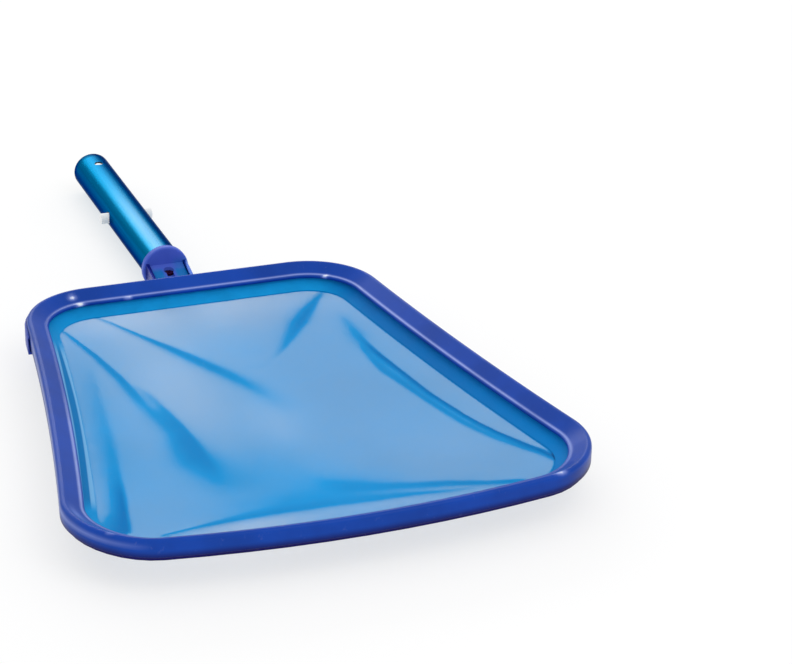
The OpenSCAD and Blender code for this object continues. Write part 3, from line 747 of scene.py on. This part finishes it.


# ---- net ----

# Folds of the net, most of which run in from the corners. Each has a height and the stops of its
# line: x and y from the frame's middle, how much closer the threads lie there, and its half width to
# the left and to the right of the way. Lengths are in millimetres.
# The closer threads also paint the fold's colour deeper, as painted shade along the fold.
FOLDS = (
    (1.2, ((-99, 142, .14, 1.4, 1.6), (-94, 120, .26, 1.5, 2), (-88, 95, .3, 1.8, 2.4),
        (-81, 55, .3, 2.6, 3.4), (-78, 25, .22, 3.5, 5), (-75, -5, .13, 5, 6), (-73, -30, 0, 6, 7))),
    (0.9, ((-76, 48, 0, 2, 2), (-70, 25, .14, 3, 3.5), (-66, 0, .18, 3, 4.5), (-63, -25, .18, 2.5, 5),
        (-61, -50, .14, 2, 5), (-61, -80, .08, 2.5, 5), (-62, -105, 0, 3, 5))),
    (1.1, ((-72, 12, 0, 4, 4), (-69, -20, .18, 7, 7), (-68, -45, .26, 9, 10), (-68, -68, .24, 12, 12),
        (-64, -92, .1, 15, 12), (-55, -125, 0, 20, 12))),
    (1.2, ((-71, 153, .16, 1.6, 1.6), (-62, 137, .26, 1.8, 2), (-50, 115, .3, 2.4, 2.8),
        (-37, 92, .34, 3.4, 4.4), (-26, 70, .32, 5, 5.5), (-13, 44, .24, 6, 6), (-2, 18, .14, 8, 6),
        (6, -6, .05, 9, 7), (12, -24, 0, 9, 9))),
    (-1.6, ((94, 149, .12, 2.5, 2.5), (84, 138, .22, 3, 4), (72, 122, .36, 4, 6), (62, 108, .36, 5, 7),
        (50, 90, .24, 4, 6), (38, 72, .14, 2.5, 4), (24, 54, 0, 1.5, 3))),
    (1.0, ((91, 112, 0, 3, 3), (90.5, 95, .1, 4, 4), (89.5, 72, .17, 5.5, 5.5), (88.5, 52, .1, 5, 5),
        (88, 36, 0, 4, 4))),
    (0.6, ((86.5, 58, 0, 4, 1.8), (86.5, 46, .16, 5, 2), (86.2, 30, .22, 6, 2), (87, 13, .25, 6, 2),
        (91.9, -7.2, .27, 4.4, 2), (98.9, -38.9, .28, 3.2, 2), (103.3, -56.7, .28, 2.9, 2),
        (108, -73.9, .26, 2.9, 2.2), (113.5, -88.6, .22, 2.9, 2.4), (119.6, -102.4, .19, 3, 2.4),
        (130, -121.5, .1, 2, 2), (137, -132, 0, 2, 2))),
    (1.5, ((89.5, 72, 0, 2, 2), (90.8, 54, .26, 1.8, 1.8), (92.6, 36, .54, 1.7, 1.7),
        (96.7, 9, .58, 1.6, 1.6), (103, -31, .58, 1.5, 1.5), (107.4, -48.5, .58, 1.5, 1.5),
        (112, -67, .58, 1.5, 1.5), (117, -82.4, .58, 1.6, 1.6), (122.6, -96.8, .58, 1.7, 1.7),
        (133.2, -119.6, .58, 2.2, 2.4), (144.2, -138.6, .56, 3.2, 3.2))),
    (-1.2, ((-117, -60, 0, 2, 5), (-120, -80, .08, 2, 5), (-123, -100, .32, 2, 6),
        (-127, -120, .44, 2, 7), (-132, -143, .46, 2.5, 14))),
    (0.4, ((-94, 90, 0, 3, 5), (-100, 50, .06, 3.5, 8), (-108, -5, .09, 4, 10), (-114, -45, .11, 4, 10),
        (-119, -75, .12, 3, 10), (-123, -100, .07, 3, 9), (-126, -120, 0, 3, 8))),
    (1.2, ((-114, -157, .2, 1.2, 1.2), (-95, -154.2, .24, 1.7, 1.5), (-80, -153.3, .26, 4, 1.7),
        (-62, -152.4, .26, 6, 1.7), (-37, -151.6, .23, 7, 1.9), (-10, -152.3, .18, 9, 2.2),
        (16, -154.8, .2, 8, 2.2), (42, -156, .2, 4, 2.3), (66, -159, .15, 2, 2.3),
        (86, -160, 0, 2, 2.3))),
    (0.9, ((-8, -116, .02, 8, 8), (10, -132, .09, 8, 9), (30, -140, .13, 7, 7), (50, -145, .16, 5, 5),
        (69, -149.5, .2, 4, 3.6), (92, -157, .24, 3, 3), (112, -161, .26, 2.4, 3))),
)

# Broad areas where the net's cover is lower or higher, so that more or less shows through and its colour
# is paler or deeper: x, y, half width, half depth, change of cover.
AREAS = (
    (-48, 45, 30, 75, -.11), (-5, 142, 75, 38, -.13), (-70, 142, 30, 20, -.04), (-4, -36, 16, 34, -.05),
    (-110, -10, 22, 110, .03), (-35, -102, 42, 44, .09), (8, -126, 34, 18, .05), (95, -100, 34, 30, -.02),
    (-110, -72, 15, 40, .02), (64, -150, 24, 8, .03), (-26, -138, 52, 13, .07), (-62, -162, 36, 9, -.17),
    (20, -161, 60, 8, -.05),
)


def fold_shape(x, y, height, stops):
    """One fold. The nearest point of its line gives the values, blended between two stops. With d the
    distance and w the width, its height falls off as exp(-(d / 1.3 w)^2) and how much closer the
    threads lie as exp(-(d / w)^1.7). Returns the two."""
    stops = np.array(stops)
    nearest, closer, width = np.full(x.shape, 1e9), np.zeros(x.shape), np.ones(x.shape)
    for a, b in zip(stops, stops[1:]):
        away, t = nearest_on(a, b, x, y)
        here, left_width, right_width = (a[k] + (b[k] - a[k]) * t for k in (2, 3, 4))
        right = (x - a[0]) * (b[1] - a[1]) - (y - a[1]) * (b[0] - a[0]) > 0
        better = away < nearest
        nearest = np.where(better, away, nearest)
        closer = np.where(better, here, closer)
        width = np.where(better, np.where(right, right_width, left_width), width)
    return (height * closer / stops[:, 2].max() * np.exp(-(nearest / width / 1.3) ** 2),
            closer * np.exp(-(nearest / width) ** 1.7))


def net_fields(x, y, cloth):
    """Height and cover of the net at places in millimetres: folds and areas, with a faint ripple."""
    folds = [fold_shape(x, y, *fold) for fold in FOLDS]
    areas = sum(change * np.exp(-((x - x0) / wide) ** 2 - ((y - y0) / deep) ** 2)
                for x0, y0, wide, deep, change in AREAS)
    ripple = 0.12 * np.sin(x / 9.0 + y / 31.0) * np.exp(-((x + 10) / 120) ** 2 - ((y + 20) / 120) ** 2)
    return (cloth.fold_scale * sum(f[0] for f in folds) + ripple,
            np.clip(cloth.cover + areas + sum(f[1] for f in folds), 0.3, 1.6))


def net_surface(outline, inward, f, cloth, cells=290):
    """The net as a patch between four curves, one along each side of the frame.

    A point is the sum of the two straight blends between facing curves, less the blend of the four
    corners, so that the grid fills the rounded outline. Height: the hem's edge height, less the sag (1 -
    (1 - d)^2), with d the distance from the hem over 150 mm, at most 1, plus the folds, which fade out
    over the last 12 mm before the hem. Beside the hem's edge the cover rises, less so on the left side.
    """
    under_hem, lift, fade, sag_reach, hem_shade = 0.0012, 0.0002, 0.012, 0.15, 0.0009
    ring = outline + inward * (cloth.hem_width - under_hem)
    mark = [int(len(ring) * k / 4 + len(ring) * 0.097) % len(ring) for k in range(4)]
    share = np.linspace(0, 1, cells)

    def side(a, b):
        walk = ring[np.arange(a, b + 1 if b > a else b + 1 + len(ring)) % len(ring)]
        run = length_run(walk)
        return np.column_stack([np.interp(share * run[-1], run, walk[:, k]) for k in (0, 1)])

    back, right, front, left = (side(mark[k], mark[(k + 1) % 4]) for k in range(4))
    front, left = front[::-1], left[::-1]
    u, v = share[None, :, None], share[:, None, None]
    corners = ((1 - u) * (1 - v) * back[0] + u * (1 - v) * back[-1] + (1 - u) * v * front[0]
               + u * v * front[-1])
    xy = (1 - v) * back + v * front + (1 - u) * left[:, None] + u * right[:, None] - corners
    x, y = xy[..., 0], xy[..., 1]
    near = np.full(x.shape, 9.0)
    for a, b in zip(ring[::2], np.roll(ring, -2, 0)[::2]):
        near = np.minimum(near, nearest_on(a, b, x, y)[0])
    inner = np.clip(near / fade, 0, 1)
    inner = inner * inner * (3 - 2 * inner)
    sag = cloth.sag * (1 - (1 - np.clip(near / sag_reach, 0, 1)) ** 2)
    height, cover = net_fields(x * 1000, y * 1000, cloth)
    beside = np.exp(-(np.maximum(near - under_hem, 0) / hem_shade) ** 2)
    beside = 0.6 * beside * np.clip((x + 0.105) / 0.03, 0.15, 1)
    z = CREST_Z - cloth.hem_drop + lift - sag + height / 1000 * inner
    return np.dstack([x, y + frame_middle_y(f), z]), np.dstack([x + 0.5, y + 0.5]), cover + beside


# ---- operators ----

class SKIMMER_OT_finishes(bpy.types.Operator):
    """Make every finish of the skimmer"""
    bl_idname = "skimmer.finishes"
    bl_label = "Make the finishes"

    def execute(self, context):
        c, cloth = context.scene.skimmer_finish, context.scene.skimmer_cloth
        made = [moulded_plastic(name + "_plastic", getattr(c, name), **how)
                for name, how in PLASTICS.items()]
        made += [worked_metal(name, getattr(c, shade), *how) for name, (shade, *how) in METALS.items()]
        made += [anodised_tube(c), net_mesh(c, cloth), hem_cloth(c, cloth)]
        FINISHES.update((finish.name, finish.material) for finish in made)
        return {"FINISHED"}


class SKIMMER_OT_rim(bpy.types.Operator):
    """Build the rim: its section carried round the frame"""
    bl_idname = "skimmer.rim"
    bl_label = "Build the rim"

    def execute(self, context):
        f = context.scene.skimmer_frame
        outline, inward, _ = frame_outline(f)
        section = rim_section(f)
        # The stored edge value paints light and shade on the rim.
        piece = surface("rim_moulding", carried(outline, inward, section, f), (True, True),
                        fields={"edge": rim_painted_light(outline, inward, section, f)})
        dress(piece, "rim_plastic", "rim")
        return {"FINISHED"}


class SKIMMER_OT_net(bpy.types.Operator):
    """Build the net with its folds, and the hem that holds it"""
    bl_idname = "skimmer.net"
    bl_label = "Build the net and hem"

    def execute(self, context):
        f, cloth = context.scene.skimmer_frame, context.scene.skimmer_cloth
        outline, inward, run = frame_outline(f)
        section = hem_section(f, cloth)
        width = length_run(section)
        uv = np.dstack(np.broadcast_arrays(run[:, None], width))
        inset = np.minimum(width, width[-1] - width)
        inset = np.broadcast_to((inset.max() - inset) * 1000, uv.shape[:2])
        hem = surface("net_hem_cloth", carried(outline, inward, section, f), (True, True), uv=uv,
                      fields={"inset": inset})
        dress(hem, "hem_cloth", "net_hem")
        grid, uv, cover = net_surface(outline, inward, f, cloth)
        net = surface("net_cloth", grid, uv=uv, fields={"cover": cover}, sharp=180, outward=False)
        dress(net, "net_mesh", "net_panel")
        return {"FINISHED"}


class SKIMMER_OT_tube(bpy.types.Operator):
    """Build the handle tube: a turned wall with its holes cut through"""
    bl_idname = "skimmer.tube"
    bl_label = "Build the handle tube"

    def execute(self, context):
        t = context.scene.skimmer_tube
        tube = surface("handle_tube_wall", tube_grid(t), (True, True))
        dress(tube, "tube_anodised", "handle_tube")
        tube.data.materials.append(FINISHES["cut_aluminium"])
        screw = (0, TUBE_START + t.screw_in, AXIS_Z - t.radius)
        drills = [drill("drill_buttons", (0, TUBE_START + t.button_at, AXIS_Z), "X", t.button_hole, 0.04),
                  drill("drill_hanging", (0, TUBE_END - t.hang_in, AXIS_Z), "Z", t.hang_hole, 0.04),
                  drill("drill_screw", screw, "Z", t.screw_hole, 0.008)]
        for cutter in drills:
            cutter.data.materials.append(FINISHES["cut_aluminium"])
            cut = tube.modifiers.new(cutter.name, "BOOLEAN")
            cut.operation, cut.solver, cut.object = "DIFFERENCE", "EXACT", cutter
            cut.material_mode = "TRANSFER"
        apply_modifiers(tube)
        for cutter in drills:
            bpy.data.objects.remove(cutter)
        # Painted shade: the inside of the tube takes a dark finish.
        tube.data.materials.append(FINISHES["tube_inside"])
        line_inside(tube.data, t.radius - t.wall)
        tube.data.set_sharp_from_angle(angle=math.radians(30))
        return {"FINISHED"}


# Each fitting: its slot in the record, its body, and the radius of its edges in metres.
FITTINGS = {
    "clamp_ring": ("ring_plastic", ROOT, 0.0003),
    "rear_yoke": ("yoke_plastic", ROOT, 0.0004),
    "pole_socket": ("socket_plastic", ROOT, 0.0003),
    "clip_bow": ("clip_plastic", ROOT, 0.0003),
    "clip_leg_left": ("clip_plastic", "left_button", 0.0003),
    "clip_leg_right": ("clip_plastic", "right_button", 0.0003),
    "neck_screw": ("dark_screw", ROOT, 0.00015),
    "tube_screw": ("screw_steel", ROOT, 0.00015),
    "ring_screws": ("screw_steel", ROOT, 0.00012),
    "yoke_screws": ("screw_steel", ROOT, 0.00015),
}


class SKIMMER_OT_fittings(bpy.types.Operator):
    """Round and finish the ring, yoke, socket, spring clip and screws"""
    bl_idname = "skimmer.fittings"
    bl_label = "Finish the fittings"

    def execute(self, context):
        for node, (slot_name, body, radius) in FITTINGS.items():
            dress(softened(node, radius), slot_name, node, body)
        return {"FINISHED"}


# Soft lamps: place, target, width and height in metres, and power in watts.
LAMPS = {
    "key": ((0.7, -1.1, 1.6), (0, -0.05, 0), (1.1, 1.1), 5.0),
    "back": ((0.12, 2.3, 1.2), (0.02, 0.1, 0), (2.3, 0.6), 12.5),
}


class SKIMMER_OT_stage(bpy.types.Operator):
    """Set the floor, the lights and the camera"""
    bl_idname = "skimmer.stage"
    bl_label = "Set the stage"

    def execute(self, context):
        scene, look = context.scene, context.scene.skimmer_stage
        scene.view_settings.view_transform = "Standard"
        set_floor(look)
        set_world(scene, look)
        for name, (place, target, size, power) in LAMPS.items():
            set_lamp(name, place, target, size, power)
        set_camera(scene, scene.skimmer_frame)
        return {"FINISHED"}


def set_floor(look, half=6.0):
    """A flat floor of paper, which is plain white where it is seen, apart from a share of the shadow."""
    span = np.linspace(-half, half, 3)
    grid = np.dstack(np.broadcast_arrays(span, -span[:, None], 0.0))
    floor = surface("floor", grid, outward=False)
    paper = Finish("floor_paper", "BsdfDiffuse", Color=look.floor)
    seen = paper.node("LightPath", out="Is Camera Ray")
    for ray in ("Is Glossy Ray", "Is Transmission Ray"):
        seen = seen.larger(paper.node("LightPath", out=ray))
    paper.set(paper.output, {"Surface": paper.node("MixShader", None, {
        0: seen * (1 - look.shadow), 1: paper.shader.outputs[0], 2: paper.node("Emission")})})
    floor.data.materials.append(paper.material)


def set_world(scene, look):
    """A pale room, brighter overhead than near the floor, and at full strength where it is seen itself."""
    scene.world = bpy.data.worlds.new("studio")
    room = Nodes(scene.world)
    _, _, rise = room.parts(room.node("TexCoord", out="Generated"))
    strength = rise.smooth(0.0, 0.45, look.horizon, look.overhead).larger(
        room.node("LightPath", out="Is Camera Ray"))
    room.add("OutputWorld", None, {
        "Surface": room.node("Background", None, {"Strength": strength})})


def set_lamp(name, place, target, size, power):
    """A soft lamp, wide and high as size says, that faces the target."""
    data = bpy.data.lights.new(name, "AREA")
    data.shape, data.size, data.size_y, data.energy = "RECTANGLE", *size, power
    light = put(name, data)
    light.location = place
    light.rotation_euler = (Vector(target) - Vector(place)).to_track_quat("-Z", "Y").to_euler()


def set_camera(scene, f):
    """Camera that looks down at 24.6 degrees, turned 21.5 degrees round and rolled a little. Its place
    is given from the frame's middle, at the height of the crest."""
    aside, behind, over = -0.471758, -1.428794, 0.721436
    data = bpy.data.cameras.new("camera")
    data.lens = 117.39
    stand = Matrix.Translation((aside, behind + frame_middle_y(f), over + CREST_Z))
    for angle, axis in ((-21.4803, "Z"), (65.3958, "X"), (1.3368, "Z")):
        stand = stand @ Matrix.Rotation(math.radians(angle), 4, axis)
    scene.camera = put("camera", data)
    scene.camera.matrix_world = stand


class SKIMMER_PT_panel(bpy.types.Panel):
    """The skimmer's pieces and sizes"""
    bl_label = "Leaf skimmer net"
    bl_idname = "SKIMMER_PT_panel"
    bl_space_type = "VIEW_3D"
    bl_region_type = "UI"
    bl_category = "Skimmer"

    def draw(self, context):
        for group, kind in GROUPS.items():
            box = self.layout.box()
            for key in kind.__annotations__:
                box.prop(getattr(context.scene, group), key)
        for kind in OPERATORS:
            self.layout.operator(kind.bl_idname)


OPERATORS = (SKIMMER_OT_finishes, SKIMMER_OT_rim, SKIMMER_OT_net, SKIMMER_OT_tube, SKIMMER_OT_fittings,
             SKIMMER_OT_stage)


def register():
    for kind in (*GROUPS.values(), *OPERATORS, SKIMMER_PT_panel):
        bpy.utils.register_class(kind)
    for group, kind in GROUPS.items():
        setattr(bpy.types.Scene, group, PointerProperty(type=kind))


def unregister():
    for group in GROUPS:
        delattr(bpy.types.Scene, group)
    for kind in (SKIMMER_PT_panel, *reversed(OPERATORS), *reversed(GROUPS.values())):
        bpy.utils.unregister_class(kind)


def main():
    register()
    for kind in OPERATORS:
        area, name = kind.bl_idname.split(".")
        if getattr(getattr(bpy.ops, area), name)() != {"FINISHED"}:
            raise RuntimeError(f"{kind.bl_label}: not finished")


if __name__ == "__main__":
    main()
